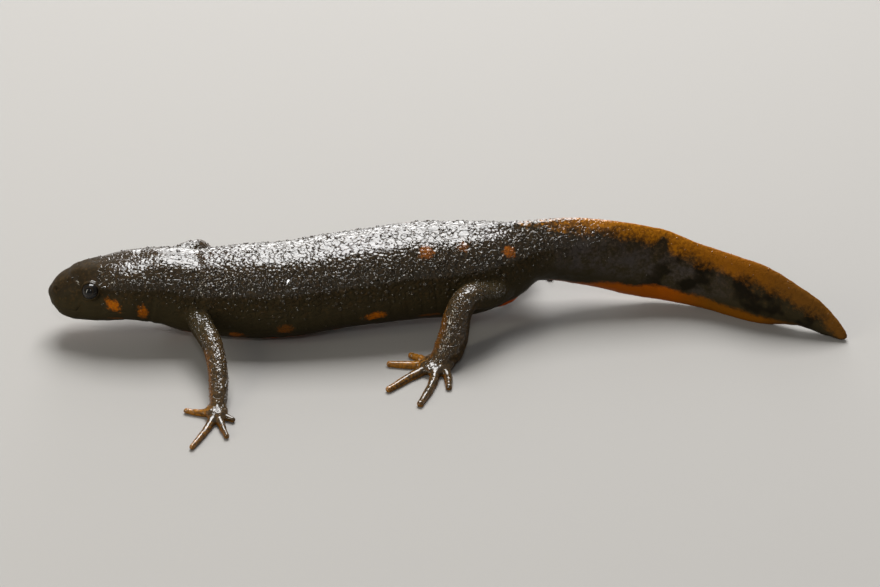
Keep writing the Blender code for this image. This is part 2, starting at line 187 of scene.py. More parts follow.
# Legs: the joints of each leg, the radii there, the centre and the heading of the palm or sole
# in degrees, and the toes as (turn from the heading, length, bend).
LEGS = {
    "fore_left": {
        "joints": ((-30.0, 1.0, 4.9), (-29.6, -2.6, 4.7), (-27.5, -8.3, 3.7),
                   (-26.75, -14.4, 1.15)),
        "radii": (1.9, 1.5, 1.15, 1.08),
        "palm": (-26.9, -16.3, 0.6),
        "heading": -92,
        "toes": ((-90, 3.6, -12), (-14, 7.3, -6), (19, 4.9, 0), (58, 2.4, 0)),
    },
    "fore_right": {
        "joints": ((-31.5, 3.5, 5.6), (-32.6, 6.7, 6.8), (-30.1, 10.1, 6.4), (-34.4, 13.4, 1.25)),
        "radii": (1.9, 1.8, 1.3, 1.05),
        "palm": (-35.6, 14.4, 0.6),
        "heading": 148,
        "toes": ((-66, 3.2, -8), (-18, 4.9, 6), (16, 5.4, 8), (60, 3.4, 14)),
    },
    "hind_left": {
        "joints": ((6.6, 4.6, 5.6), (4.9, 1.0, 5.9), (2.15, -1.7, 6.7), (0.05, -5.0, 1.7)),
        "radii": (2.3, 1.75, 1.5, 1.85),
        "palm": (-1.2, -6.3, 0.7),
        "heading": 226,
        "toes": ((-87, 3.9, 8), (-50, 5.7, -1), (-11, 7.6, 11), (35, 8.3, -9), (75, 4.8, -26)),
    },
    "hind_right": {
        "joints": ((6.6, 8.6, 5.2), (7.2, 11.4, 5.8), (8.4, 13.6, 6.3), (9.2, 15.6, 1.35)),
        "radii": (2.3, 1.8, 1.5, 1.35),
        "palm": (10.4, 16.5, 0.65),
        "heading": 40,
        "toes": ((-84, 3.6, -8), (-46, 5.2, -6), (-10, 6.9, 4), (24, 7.2, 6), (60, 4.8, 10)),
    },
}
# Half sizes of a palm or sole; how much thinner the leg ends in it; the rounded tip of a toe, of
# its last radius; the radii of the toes; and the height of their middle over the floor.
PALM_SIZES = {"fore": (1.7, 1.4, 0.7), "hind": (2.4, 2.0, 0.8)}
PALM_TAPER = 0.7
TOE_TIP = 1.06
TOE_RADII = {"fore": (0.6, 0.46, 0.34), "hind": (0.72, 0.56, 0.42)}
TOE_LEVEL = 0.36
# How amber each toe is: the inner ones more. A leg with four toes leaves out the first.
TOE_GLOW = (1.0, 1.0, 0.35, 0.10, 0.05)

# A point's place on the spine is found in this many steps. Its height in the section, over the
# section's own, is kept within this limit.
SPINE_STEPS = 6
RING_LIMIT = 1.2

# How far from a toe's line its skin reaches, where the skin of a leg begins and ends to blend
# into the body, and how many points stand for a limb and for a toe when they are measured.
TOE_SKIN = 0.85
LEG_SKIN = (1.9, 2.7)
LIMB_COUNT, TOE_COUNT = 48, 16

# Orange spots: x on the spine, side (-1 left, 1 right), angle round the section in degrees from
# level (90 is the back), half length, half height, tilt in degrees and strength.
SPOTS = (
    (-40.0, -1, -4, 1.35, 0.80, -52, 1.0),  # cheek
    (-36.2, -1, -20, 0.80, 1.15, 12, 0.9),  # throat fold
    (-40.0, -1, -36, 0.90, 0.25, -6, 0.3),
    (-25.4, -1, -43, 1.05, 0.75, 0, 0.7),  # lower flank
    (-20.0, -1, -27, 0.95, 0.95, 0, 0.35),
    (-9.8, -1, -25, 1.35, 0.70, 6, 1.0),
    (-2.6, -1, -36, 2.10, 0.30, 4, 0.3),
    (-2.9, -1, 52, 1.05, 0.90, 15, 0.5),  # over the hips
    (1.4, -1, 57, 1.00, 0.65, 0, 0.28),
    (7.2, -1, 41, 0.80, 0.95, 10, 0.85),
    (-39.6, 1, -4, 1.15, 0.75, -46, 1.0),
    (-35.9, 1, -20, 0.75, 0.95, 10, 0.9),
    (-27.0, 1, -43, 0.90, 0.70, 0, 0.8),
    (-21.6, 1, -24, 0.75, 0.80, 8, 0.6),
    (-14.2, 1, -20, 1.15, 0.60, 0, 0.9),
    (-6.1, 1, -22, 1.40, 0.55, -5, 0.7),
    (-4.4, 1, 55, 0.85, 0.75, -10, 0.5),
    (6.1, 1, 43, 0.75, 0.80, 0, 0.8),
)

# The amber band on the tail's upper edge and the orange strip on its lower edge: x on the spine,
# and the height where the colour ends, from -1 at the lower edge to 1 at the upper.
AMBER_EDGE = (
    (8.0, 1.25), (12.0, 0.95), (15.0, 0.83), (19.0, 0.79), (22.5, 0.74), (26.0, 0.65),
    (30.5, 0.56), (36.0, 0.50), (40.0, 0.44), (43.5, 0.34), (46.0, 0.0), (48.1, -1.0),
)
ORANGE_EDGE = (
    (7.0, -1.1), (12.0, -0.95), (16.8, -0.85), (18.6, -0.72), (20.5, -0.63), (23.5, -0.56),
    (25.8, -0.42), (29.0, -0.46), (33.0, -0.50), (37.0, -0.55), (42.0, -0.75), (48.1, -1.2),
)
# Where on the spine both may begin.
TAIL_PAINT_X = 7.0

# The point that the camera looks at, in the body plan, and half the floor's side in metres.
VIEW_CENTRE = (-0.90, 4.00, 4.10)
FLOOR_HALF = 2.0

FLESH_NODES = sorted(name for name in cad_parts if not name.startswith("eye_"))


# ------------ the body plan


def slopes(xs, ys):
    """Slopes of a smooth curve through the points that doesn't overshoot them."""
    steps = np.diff(xs)
    grades = np.diff(ys) / steps
    found = np.empty(len(xs))
    found[0], found[-1] = grades[0], grades[-1]
    for i in range(1, len(xs) - 1):
        before, after = grades[i - 1], grades[i]
        if before * after <= 0:
            found[i] = 0.0
            continue
        near, far = 2 * steps[i] + steps[i - 1], steps[i] + 2 * steps[i - 1]
        found[i] = (near + far) / (near / before + far / after)
    return found


def smooth_curve(xs, ys):
    """A function that reads the smooth curve through the points, for one x or an array."""
    xs, ys = np.asarray(xs, float), np.asarray(ys, float)
    rates = slopes(xs, ys)

    def read(x):
        x = np.clip(x, xs[0], xs[-1])
        i = np.clip(np.searchsorted(xs, x) - 1, 0, len(xs) - 2)
        step = xs[i + 1] - xs[i]
        t = (x - xs[i]) / step
        rise = t * t * (3 - 2 * t)
        start, end = t * (1 - t) ** 2, t * t * (t - 1)
        bend = step * (start * rates[i] + end * rates[i + 1])
        return (1 - rise) * ys[i] + rise * ys[i + 1] + bend

    return read


TABLE = np.array(STATIONS).T
READ = {name: smooth_curve(TABLE[0], column) for name, column in zip(STATION_COLUMNS, TABLE)}
NOSE_X, TIP_X = TABLE[0][0], TABLE[0][-1]
READ["amber"] = smooth_curve(*np.array(AMBER_EDGE).T)
READ["orange"] = smooth_curve(*np.array(ORANGE_EDGE).T)


def unit(vectors):
    return vectors / np.linalg.norm(vectors, axis=-1, keepdims=True)


def plan_point(x):
    """The spine's point at x, in millimetres, before the plan is put in its place."""
    return np.stack([x, READ["y"](x), READ["z"](x)], axis=-1)


def section_axes(x):
    """The section's axes: along the spine, to the newt's right, and up."""
    ahead, behind = np.minimum(x + 0.5, TIP_X), np.maximum(x - 0.5, NOSE_X)
    along = unit(plan_point(ahead) - plan_point(behind))
    side = unit(np.cross((0.0, 0.0, 1.0), along))
    up = np.cross(along, side)
    roll = np.radians(READ["roll"](x))[..., None]
    return along, side * np.cos(roll) + up * np.sin(roll), up * np.cos(roll) - side * np.sin(roll)


def section_point(x, side, up):
    """A point of the plan, in millimetres, from its place in the section at x."""
    _, across, upward = section_axes(x)
    return plan_point(x) + across * side + upward * up


def box_centre(node):
    low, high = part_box(node)
    return np.array((low + high) / 2)


# The plan sits where its left eye meets the eye of the frame.
PLACE = box_centre("eye_left") / MM - section_point(EYE_X, -EYE_SIDE, EYE_UP)
EYE_RADIUS = (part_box("eye_left")[1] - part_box("eye_left")[0]).x / 2 / MM


def spine_point(x):
    return plan_point(x) + PLACE


def end_rounding(x):
    """How far the section is drawn in near the snout and the tail tip, from 0 to 1."""
    nose = np.clip((x - NOSE_X) / SNOUT_ROUNDING, 0, 1)
    tip = np.clip((TIP_X - x) / TAIL_ROUNDING, 0, 1)
    return np.sqrt(1 - (1 - nose) ** 2) * np.sqrt(1 - (1 - tip) ** 2)


def section_places():
    """x of every section: even along the body and closer together at the rounded ends."""
    ends = 1 - np.cos(np.linspace(0, math.pi / 2, 13))
    nose = NOSE_X + ends * SNOUT_ROUNDING
    tip = TIP_X - ends[::-1] * TAIL_ROUNDING
    count = round((tip[0] - nose[-1]) / SECTION_STEP)
    return np.concatenate([nose[1:], np.linspace(nose[-1], tip[0], count + 1)[1:-1], tip[:-1]])


def in_place(point):
    return np.array(point, float) + PLACE


def toe_points(palm, heading, turn, length, bend):
    """The toe's knuckles on the floor: straight from the palm, then turned by its bend."""
    points = [in_place(palm)]
    for share, angle in ((0.45, turn), (0.55, turn + bend)):
        direction = math.radians(heading + angle)
        step = np.array((math.cos(direction), math.sin(direction), 0)) * length * share
        points.append(np.append((points[-1] + step)[:2], TOE_LEVEL))
    return points


def eye_frame(side):
    """An eye's centre and its axes: outwards, forwards and up. Side -1 is the newt's left."""
    along, across, up = section_axes(EYE_X)
    centre = in_place(section_point(EYE_X, side * EYE_SIDE, EYE_UP))
    outward = unit(along * EYE_AXIS[0] + across * side * EYE_AXIS[1] + up * EYE_AXIS[2])
    forward = unit(-along - outward * (-along @ outward))
    upward = np.cross(forward, outward) * -side
    return centre, outward, forward, upward


# ------------ meshes


def add_object(name, mesh):
    obj = bpy.data.objects.new(name, mesh)
    bpy.context.scene.collection.objects.link(obj)
    return obj


@contextmanager
def editing(mesh):
    """The mesh open for changes, which are written back at the end."""
    bm = bmesh.new()
    bm.from_mesh(mesh)
    yield bm
    bm.to_mesh(mesh)
    bm.free()


def add_mesh(name, points, faces):
    """An object from points in millimetres and faces, with its normals outwards."""
    mesh = bpy.data.meshes.new(name)
    mesh.from_pydata((np.asarray(points) * MM).tolist(), [], faces)
    with editing(mesh) as bm:
        bmesh.ops.recalc_face_normals(bm, faces=bm.faces)
    return add_object(name, mesh)


def ring_faces(rings, sides):
    """Quads between rings of points, and the two end caps."""
    faces = []
    for r in range(rings - 1):
        for i in range(sides):
            j = (i + 1) % sides
            faces.append((r * sides + i, r * sides + j, (r + 1) * sides + j, (r + 1) * sides + i))
    last = (rings - 1) * sides
    return faces + [tuple(range(sides)), tuple(range(last, last + sides))]


def body_loft():
    """The body from snout to tail tip, as rings of points joined into one closed mesh."""
    xs = section_places()
    turn = np.linspace(0, 2 * math.pi, SECTION_SIDES, endpoint=False)
    cosine, sine = np.cos(turn)[None], np.sin(turn)[None]
    power = (2 / READ["square"](xs))[:, None]
    fin = READ["fin"](xs)[:, None]
    scale = end_rounding(xs)
    width, height = (READ["width"](xs) * scale)[:, None], (READ["height"](xs) * scale)[:, None]
    side = width * np.sign(cosine) * np.abs(cosine) ** (power + fin)
    up = height * np.sign(sine) * np.abs(sine) ** power
    _, across, upward = section_axes(xs)
    points = spine_point(xs)[:, None] + across[:, None] * side[..., None]
    points = points + upward[:, None] * up[..., None]
    return add_mesh("loft", points.reshape(-1, 3), ring_faces(len(xs), SECTION_SIDES))


def ellipsoid(name, centre, axes, sizes):
    """An ellipsoid from its centre, three axes and three half sizes in millimetres."""
    mesh = bpy.data.meshes.new(name)
    with editing(mesh) as bm:
        bmesh.ops.create_uvsphere(bm, u_segments=32, v_segments=16, radius=1.0)
        points = np.array([v.co for v in bm.verts]) * sizes @ np.array(axes) + centre
        for vert, point in zip(bm.verts, points * MM):
            vert.co = point
        bmesh.ops.recalc_face_normals(bm, faces=bm.faces)
    return add_object(name, mesh)


def evaluated_mesh(obj):
    """The object's mesh with its modifiers, or a curve's with its bevel."""
    bpy.context.view_layer.update()
    graph = bpy.context.evaluated_depsgraph_get()
    return bpy.data.meshes.new_from_object(obj.evaluated_get(graph))


def tube(name, points, radii):
    """A tapered tube through the points, made a mesh with its caps welded."""
    curve = bpy.data.curves.new(name, "CURVE")
    curve.dimensions = "3D"
    curve.bevel_depth = 1.0
    curve.bevel_resolution = 6
    curve.resolution_u = 12
    curve.use_fill_caps = True
    spline = curve.splines.new("BEZIER")
    spline.bezier_points.add(len(points) - 1)
    for knot, point, radius in zip(spline.bezier_points, points, radii):
        knot.co = Vector(point) * MM
        knot.radius = radius * MM
        knot.handle_left_type = knot.handle_right_type = "AUTO"
    path = add_object(name, curve)
    mesh = evaluated_mesh(path)
    bpy.data.objects.remove(path)
    with editing(mesh) as bm:
        bmesh.ops.remove_doubles(bm, verts=bm.verts, dist=WELD * MM)
        bmesh.ops.recalc_face_normals(bm, faces=bm.faces)
    return add_object(name, mesh)


def leg_pieces(name, leg):
    """The limb, the palm and the toes of one leg, each toe with a rounded tip."""
    kind = name.split("_")[0]
    joints = [in_place(joint) for joint in leg["joints"]]
    palm = in_place(leg["palm"])
    pieces = [tube(name, joints + [palm], leg["radii"] + (leg["radii"][-1] * PALM_TAPER,))]
    turn = math.radians(leg["heading"])
    axes = ((math.cos(turn), math.sin(turn), 0), (-math.sin(turn), math.cos(turn), 0), (0, 0, 1))
    pieces.append(ellipsoid(f"{name}_palm", palm, axes, PALM_SIZES[kind]))
    tip = TOE_RADII[kind][-1] * TOE_TIP
    for number, toe in enumerate(leg["toes"]):
        points = toe_points(leg["palm"], leg["heading"], *toe)
        pieces.append(tube(f"{name}_toe_{number}", points, TOE_RADII[kind]))
        pieces.append(ellipsoid(f"{name}_tip_{number}", points[-1], np.eye(3), (tip,) * 3))
    return pieces


def join(pieces, name):
    """One object from the meshes of all the pieces."""
    mesh = bpy.data.meshes.new(name)
    with editing(mesh) as bm:
        for piece in pieces:
            bm.from_mesh(piece.data)
    for piece in pieces:
        bpy.data.objects.remove(piece)
    return add_object(name, mesh)


def settle(obj):
    """Turns the object's modifiers into plain mesh."""
    mesh = evaluated_mesh(obj)
    obj.modifiers.clear()
    old, obj.data = obj.data, mesh
    bpy.data.meshes.remove(old)


def read_points(mesh):
    """The mesh's points in millimetres and its normals, as arrays."""
    points = np.empty(len(mesh.vertices) * 3)
    normals = np.empty(len(mesh.vertices) * 3)
    mesh.vertices.foreach_get("co", points)
    mesh.vertices.foreach_get("normal", normals)
    return points.reshape(-1, 3) / MM, normals.reshape(-1, 3)


def write_points(mesh, points):
    """Gives the mesh its points, in millimetres, and leaves none below the floor."""
    points[:, 2] = np.maximum(points[:, 2], 0)
    mesh.vertices.foreach_set("co", (points * MM).ravel())
    mesh.update()


def raw_skin(voxel):
    """The body, brows, cloaca and legs blended into one closed mesh."""
    pieces = [body_loft()]
    for side in SIDES.values():
        inset = section_point(EYE_X, side * (EYE_SIDE - BROW_INSET), EYE_UP - BROW_INSET)
        sizes = (BROW_RADIUS * 1.25, BROW_RADIUS, BROW_RADIUS)
        pieces.append(ellipsoid("brow", in_place(inset), np.eye(3), sizes))
    under = in_place(section_point(CLOACA_X, 0, CLOACA_RISE - READ["height"](CLOACA_X)))
    pieces.append(ellipsoid("cloaca", under, section_axes(CLOACA_X), CLOACA_SIZE))
    for name, leg in LEGS.items():
        pieces += leg_pieces(name, leg)
    skin = join(pieces, "skin")
    remesh = skin.modifiers.new("blend", "REMESH")
    remesh.mode = "VOXEL"
    remesh.voxel_size = voxel
    soften = skin.modifiers.new("soften", "SMOOTH")
    soften.factor = 0.5
    soften.iterations = 6
    settle(skin)
    return skin


def refine(mesh, wanted, cuts):
    """Cuts the faces finer where all the ends of an edge are wanted."""
    with editing(mesh) as bm:
        edges = [e for e in bm.edges if all(wanted[v.index] for v in e.verts)]
        bmesh.ops.subdivide_edges(bm, edges=edges, cuts=cuts, use_grid_fill=True, smooth=0.0)


# ------------ places on the skin


def ease(value, start, end):
    """0 before start and 1 after end, with a smooth rise between them."""
    t = np.clip((value - start) / (end - start), 0, 1)
    return t * t * (3 - 2 * t)


def hump(distance, reach):
    """1 at no distance, and smoothly down to nearly 0 at twice the reach."""
    return np.exp(-((distance / reach) ** 2))


def lumps(points, size, seed, waves=22):
    """A smooth random field over the points, mostly between -1 and 1."""
    draw = np.random.default_rng(seed)
    field = np.zeros(len(points))
    for _ in range(waves):
        direction = unit(draw.normal(size=3))
        pace = 2 * math.pi / (size * draw.uniform(0.7, 1.7))
        field += np.cos(points @ direction * pace + draw.uniform(0, 2 * math.pi))
    return field / math.sqrt(waves * 1.6)


def spread_along(points, count):
    """Points spread along straight runs between the given ones, and each one's share of the way."""
    points = np.array(points)
    lengths = np.linalg.norm(np.diff(points, axis=0), axis=1)
    way = np.concatenate([[0], np.cumsum(lengths)])
    shares = np.linspace(0, 1, count)
    line = np.stack([np.interp(shares * way[-1], way, column) for column in points.T], axis=1)
    return line, shares


def nearest_on(line, shares, points):
    """The distance from each point to a line of points, and the share of the way there."""
    best = np.full(len(points), np.inf)
    share = np.zeros(len(points))
    for place, at in zip(line, shares):
        distance = ((points - place) ** 2).sum(1)
        closer = distance < best
        best[closer] = distance[closer]
        share[closer] = at
    return np.sqrt(best), share


def survey_legs(points):
    """Whether each point is on a leg (near_leg) and how far along the leg (reach) and a toe (toe)
    it is, how amber the toe is there (glow), and how far the elbow or knee is (bend)."""
    found = {name: np.zeros(len(points)) for name in ("near_leg", "reach", "toe", "glow")}
    found["bend"] = np.full(len(points), FAR)
    for leg in LEGS.values():
        joints = [in_place(joint) for joint in (*leg["joints"], leg["palm"])]
        toes = [toe_points(leg["palm"], leg["heading"], *toe) for toe in leg["toes"]]
        corners = np.array(joints + [p for toe in toes for p in toe])
        inside = ((points > corners.min(0) - 3) & (points < corners.max(0) + 3)).all(1)
        local = points[inside]
        distance, reach = nearest_on(*spread_along(joints[1:], LIMB_COUNT), local)
        near = 1 - ease(distance, *LEG_SKIN)
        along_toe, glow = np.zeros(len(local)), np.zeros(len(local))
        for toe, most_glow in zip(toes, TOE_GLOW[-len(toes):]):
            far, share = nearest_on(*spread_along(toe, TOE_COUNT), local)
            on_toe = far < TOE_SKIN
            along_toe[on_toe] = np.maximum(along_toe[on_toe], share[on_toe])
            glow[on_toe] = np.maximum(glow[on_toe], share[on_toe] * most_glow)
            near = np.maximum(near, on_toe)
        reach = np.where(along_toe > 0, 1.0, reach)
        parts = {"near_leg": near, "reach": reach * near, "toe": along_toe, "glow": glow}
        for name, part in parts.items():
            found[name][inside] = np.maximum(found[name][inside], part)
        to_bend = np.linalg.norm(local - joints[2], axis=1)
        found["bend"][inside] = np.minimum(found["bend"][inside], to_bend)
    return found


def survey(points):
    """Where each point lies in the plan: on the spine, in its section, and on the legs."""
    x = np.clip(points[:, 0] - PLACE[0], NOSE_X, TIP_X)
    for _ in range(SPINE_STEPS):
        offset = points - spine_point(x)
        x = np.clip(x + (offset * section_axes(x)[0]).sum(1), NOSE_X, TIP_X)
    _, across, upward = section_axes(x)
    offset = points - spine_point(x)
    side, up = (offset * across).sum(1), (offset * upward).sum(1)
    width, height, square = READ["width"](x), READ["height"](x), READ["square"](x)
    rho = (np.abs(side / width) ** square + np.abs(up / height) ** square) ** (1 / square)
    here = SimpleNamespace(points=points, x=x, side=side, up=up, rho=rho, **survey_legs(points))
    here.ring = np.clip(up / height, -RING_LIMIT, RING_LIMIT)
    here.angle = np.arctan2(up, np.abs(side))
    here.radius = np.hypot(side, up)
    here.limb = here.near_leg * ease(rho, 1.02, 1.28)
    here.body = 1 - here.limb
    gaps = [np.linalg.norm(points - eye_frame(eye)[0], axis=1) for eye in SIDES.values()]
    here.to_eye = np.minimum(*gaps)
    return here


def mouth_distance(here):
    """Height over the mouth line, which curls up a little at its corner."""
    along, _, upward = section_axes(MOUTH_MIDDLE)
    offset = here.points - spine_point(MOUTH_MIDDLE)
    height = (offset @ upward - MOUTH_HEIGHT) * math.cos(MOUTH_FALL)
    height += (offset @ along) * math.sin(MOUTH_FALL)
    return height - MOUTH_CURL * ease(here.x, -40.8, MOUTH_CORNER)


def spot_distance(here, x, angle, tilt, half_length, half_height):
    """Distance from a spot's centre over the skin, 1 at the spot's edge."""
    forward = here.x - x
    upward = here.radius * (here.angle - math.radians(angle))
    c, s = math.cos(math.radians(tilt)), math.sin(math.radians(tilt))
    along, across = forward * c + upward * s, upward * c - forward * s
    return np.hypot(along / half_length, across / half_height)


def nostril_distance(here):
    """Distance from the nearer nostril over the skin."""
    return spot_distance(here, *NOSTRIL, 0, 1.0, 1.0)


def ridge_line(here, start, end, reach):
    """A hump along the line between two places given as (x, sideways, up), on both sides."""
    place = np.stack([here.x, np.abs(here.side), here.up], axis=1)
    start, end = np.array(start), np.array(end)
    way = end - start
    share = np.clip((place - start) @ way / (way @ way), 0, 1)
    return hump(np.linalg.norm(place - start - share[:, None] * way, axis=1), reach)


# ------------ sculpting
# Heights, reaches and x are in millimetres, x along the spine. The ring runs from -1 at the
# belly to 1 on the back, and reach and toe from 0 to 1 along a leg and along a toe.


def head_forms(here, look):
    """Lips, throat fold and the swellings behind the eyes, as heights in millimetres."""
    x, ring = here.x, here.ring
    gap = mouth_distance(here)
    mouth = (1 - ease(x, MOUTH_CORNER - 0.5, MOUTH_CORNER + 0.4)) * here.body
    height = mouth * (0.05 * hump(gap - 0.3, 0.28) - look.mouth_depth / MM * hump(gap, 0.1))
    height -= 0.04 * mouth * hump(gap + 0.42, 0.35)
    for rise, start, end, reach in HEAD_RIDGES:
        height += rise * ridge_line(here, start, end, reach)
    fold = x - THROAT_FOLD_X - 0.7 * ring
    under = 1 - ease(ring, 0.0, 0.5)
    height += under * (0.04 * hump(fold - 0.6, 0.5) - 0.08 * hump(fold, 0.28)) * here.body
    return height


def nostrils(here, look):
    """A pit with a low rim round each nostril."""
    pit = nostril_distance(here)
    radius = look.nostril / MM
    return 0.06 * hump(pit - radius * 1.7, 0.2) - 1.3 * radius * hump(pit, radius)


def trunk_forms(here):
    """The ridge of the back, folds by the legs, faint rib furrows and the vent's slit."""
    x, ring, side = here.x, here.ring, here.side
    back = (0.25 + 0.75 * ease(x, -24.0, -10.0)) * (1 - ease(x, 12.0, 20.0)) * ease(ring, 0.6, 0.9)
    back *= ease(x, -35.5, -31.0)
    height = back * (0.17 * hump(side, 0.65) - 0.09 * hump(np.abs(side) - 1.5, 0.65))
    flank = ease(x, -26.5, -24.0) * (1 - ease(x, -1.5, 2.0)) * here.body
    furrow = np.cos((x + 0.5 * ring) * 2 * math.pi / RIB_PITCH)
    height -= 0.045 * flank * ease(furrow, 0.55, 1.0) * (1 - ease(np.abs(ring), 0.35, 0.8))
    armpit = hump(x - ARM_FOLD_X + 0.5 * ring, 0.5)
    height -= 0.15 * armpit * ease(ring, -0.35, 0.1) * (1 - ease(ring, 0.7, 0.95))
    soft = here.near_leg * here.body
    wrinkle = np.cos(here.rho * 9.0 + 2.2 * lumps(here.points, 3.0, seed=5))
    height += 0.035 * soft * wrinkle
    slit = hump(side, 0.14) * ease(x, CLOACA_X - 1.6, CLOACA_X - 1.1)
    slit *= 1 - ease(x, CLOACA_X + 1.1, CLOACA_X + 1.6)
    below = ease(-ring, 0.75, 0.9) * here.body
    height -= 0.30 * slit * below
    around = np.hypot((x - CLOACA_X) / 1.5, side)
    petals = np.cos(np.arctan2(side, x - CLOACA_X) * 22)
    height += 0.03 * petals * hump(around - 0.8, 0.45) * below
    return height


def tail_forms(here):
    """Faint chevrons of muscle, and the groove between them and the fins."""
    x, ring = here.x, here.ring
    tail = ease(x, 10.0, 16.0) * (1 - ease(x, 42.0, 47.0)) * here.body
    pace = np.cos((x - 1.6 * np.abs(ring)) * 2 * math.pi / CHEVRON_PITCH)
    height = -0.03 * tail * ease(pace, 0.4, 1.0) * (1 - ease(np.abs(ring), 0.5, 0.8))
    return height - 0.05 * tail * hump(np.abs(np.abs(ring) - FIN_BASE), 0.12)


def limb_forms(here):
    """Elbows and knees, creases at the joints and knuckles on the toes."""
    limb, reach, toe = here.limb, here.reach, here.toe
    height = 0.05 * limb * hump(here.bend - 1.3, 0.9)
    crease = np.cos(here.bend * 7.5) * hump(here.bend - 1.2, 1.0)
    height -= 0.035 * limb * np.clip(crease, 0, 1)
    muscle = hump(reach - 0.28, 0.13) + hump(reach - 0.66, 0.14)
    height += 0.07 * limb * muscle
    knuckle = hump(toe - 0.42, 0.07) + hump(toe - 0.7, 0.06)
    height += 0.035 * limb * knuckle * (toe > 0)
    rings = np.cos(toe * 60)
    return height - 0.012 * limb * (toe > 0.15) * np.clip(rings, 0, 1)


def open_eyes(points, look):
    """Sinks the skin behind each eyeball and rolls it into lids round the opening."""
    for side in SIDES.values():
        centre, outward, forward, upward = eye_frame(side)
        offset = points - centre
        radius = np.linalg.norm(offset, axis=1)
        near = radius < LID_REACH
        ray = offset[near] / radius[near, None]
        polar = np.arccos(np.clip(ray @ outward, -1, 1))
        level, rise = ray @ forward, ray @ upward
        round_eye = np.arctan2(rise, level)
        tall = np.where(rise > 0, LID_OPENING[1], LID_OPENING[2])
        opening = 1 / np.hypot(np.cos(round_eye) / LID_OPENING[0], np.sin(round_eye) / tall)
        past = polar - opening
        lid = look.lid / MM
        rim = EYE_RADIUS + lid * (0.9 + 0.35 * np.clip(np.sin(round_eye), 0, 1))
        socket = EYE_RADIUS - SOCKET_DEPTH
        target = socket + (rim - EYE_RADIUS + SOCKET_DEPTH) * ease(past, -0.03, 0.12)
        target -= 0.10 * hump(past - 0.62, 0.12)
        weight = 1 - ease(past, 0.42, 0.95)
        moved = radius[near] * (1 - weight) + target * weight
        points[near] = centre + ray * moved[:, None]
    return points


def sculpt(skin, look):
    """Moves the skin's points into the forms of the living animal."""
    points, normals = read_points(skin.data)
    here = survey(points)
    calm = ease(here.to_eye, 1.6, 2.6)
    height = (head_forms(here, look) + nostrils(here, look)) * calm
    height += trunk_forms(here) + tail_forms(here) + limb_forms(here)
    slack = here.body * calm * (1 - 0.6 * ease(here.x, 14, 24))
    coarse, fine = lumps(points, 3.2, seed=11), lumps(points, 1.1, seed=12)
    height += 0.030 * slack * coarse + 0.020 * calm * fine
    write_points(skin.data, open_eyes(points + normals * height[:, None], look))


def fine_places(skin):
    """Marks the points that need finer faces: round the eyes, nostrils, mouth and vent."""
    here = survey(read_points(skin.data)[0])
    mouth = (np.abs(mouth_distance(here)) < 0.6) & (here.x < MOUTH_CORNER + 0.6)
    nostril = nostril_distance(here) < 0.8
    vent = (np.abs(here.x - CLOACA_X) < 1.8) & (np.abs(here.side) < 0.6) & (here.ring < -0.7)
    return (here.to_eye < 2.3) | mouth | nostril | vent


# ------------ fields the skin carries


def spot_field(here):
    """1 at the middle of the nearest spot, 0 at its edge and -1 away from it; and its strength."""
    field = np.full(len(here.x), -1.0)
    strength = np.zeros(len(here.x))
    for x, side, angle, half_length, half_height, tilt, power in SPOTS:
        inside = 1 - spot_distance(here, x, angle, tilt, half_length, half_height)
        inside = np.where((here.side * side > 0) & (here.limb <= 0.5), inside, -1.0)
        closer = inside > field
        field = np.where(closer, inside, field)
        strength = np.where(closer, power, strength)
    return np.clip(field, -1, 1), strength


def grain_field(here, normals):
    """How thickly warts and granules stand, from 0 to 1, and how large they are."""
    x, ring = here.x, here.ring
    body = 0.10 + 0.90 * ease(ring, -0.45, 0.42)
    body *= ease(x, -46.5, -40.0)
    body *= 1 - ease(x, 9.0, 25.0) * (1 - 0.35 * ease(ring, 0.55, 0.9))
    body *= ease(ring, -0.72, -0.5) * (1 - 0.5 * ease(ring, 0.84, 0.97))
    body *= 1 - ease(x, 6.5, 8.5) * (1 - ease(ring, -0.5, -0.2))
    limb = 0.75 * ease(normals[:, 2], -0.35, 0.3) * (1 - ease(here.toe, 0.02, 0.3))
    limb *= 1 - 0.5 * ease(here.reach, 0.8, 1.0)
    density = body * here.body + limb * here.limb
    density *= ease(here.to_eye, 1.55, 1.9)
    lips = (1 - ease(np.abs(mouth_distance(here)), 0.2, 0.5)) * (x < MOUTH_CORNER)
    size = 0.62 + 0.38 * ease(x, -41.0, -33.0)
    size = size * (1 - 0.35 * ease(x, 8.0, 20.0))
    size = size * here.body + 0.62 * here.limb
    return np.clip(density * (1 - lips), 0, 1), size


def wet_field(here, normals):
    """How thick the film of water is, from 0 to 1: it gathers on the back and over the legs."""
    x, ring = here.x, here.ring
    body = 0.06 + 0.94 * ease(ring, 0.20, 0.60) * (1 - 0.9 * ease(x, 11.0, 24.0))
    body = body * (1 - 0.35 * ease(ring, 0.75, 0.95) * ease(-x, 25.0, 32.0))
    body = body * (0.08 + 0.92 * ease(x, -43.6, -40.0))
    snout = 0.95 * ease(x, -45.1, -44.6) * (1 - ease(x, -43.7, -43.2)) * ease(ring, 0.25, 0.4)
    snout *= 1 - ease(ring, 0.88, 0.97)
    limb = 0.25 + 0.75 * ease(normals[:, 2], 0.05, 0.55)
    return np.maximum(body, snout) * here.body + limb * here.limb


